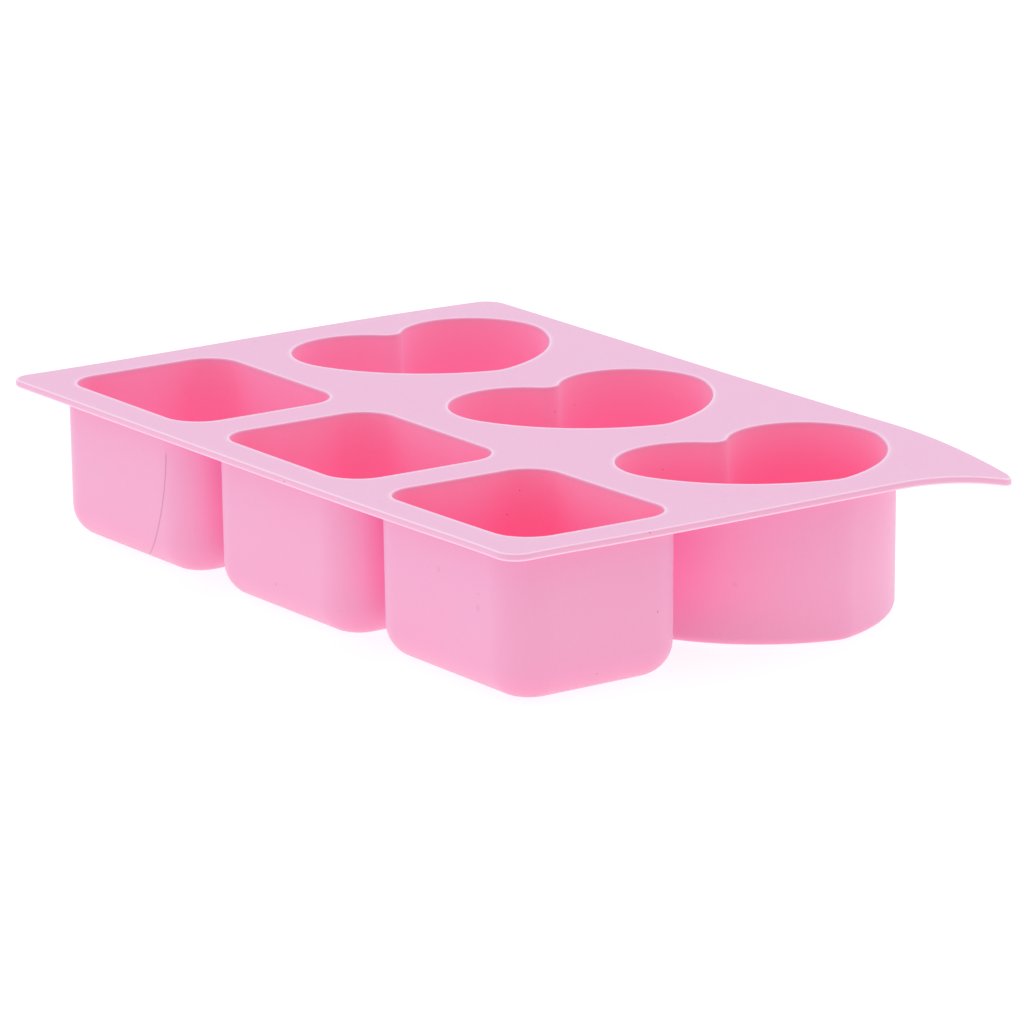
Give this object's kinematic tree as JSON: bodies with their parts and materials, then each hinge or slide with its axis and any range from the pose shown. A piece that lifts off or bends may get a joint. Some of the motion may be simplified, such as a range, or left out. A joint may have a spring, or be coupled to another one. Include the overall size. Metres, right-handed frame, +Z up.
{
  "type": "silicone soap mould",
  "caption": "Flexible silicone tray mould with a row of rounded rectangular cups and a row of heart cups hanging from a thin flat deck; soap is poured in and pushed out.",
  "frame": {"origin": "centre of the tray on the plane that the cups stand on", "axes": "+X along the tray, the way the heart tips point; +Y from the square cups to the heart cups; +Z up, out of the open cups"},
  "size_m": [0.235, 0.16, 0.042],
  "materials": {
    "silicone": "satin, slightly translucent pink silicone rubber"
  },
  "bodies": {
    "root": {"deck": "silicone", "square_cup_left": "silicone", "square_cup_middle": "silicone", "square_cup_right": "silicone", "heart_cup_left": "silicone", "heart_cup_middle": "silicone", "heart_cup_right": "silicone"}
  },
  "joints": []
}
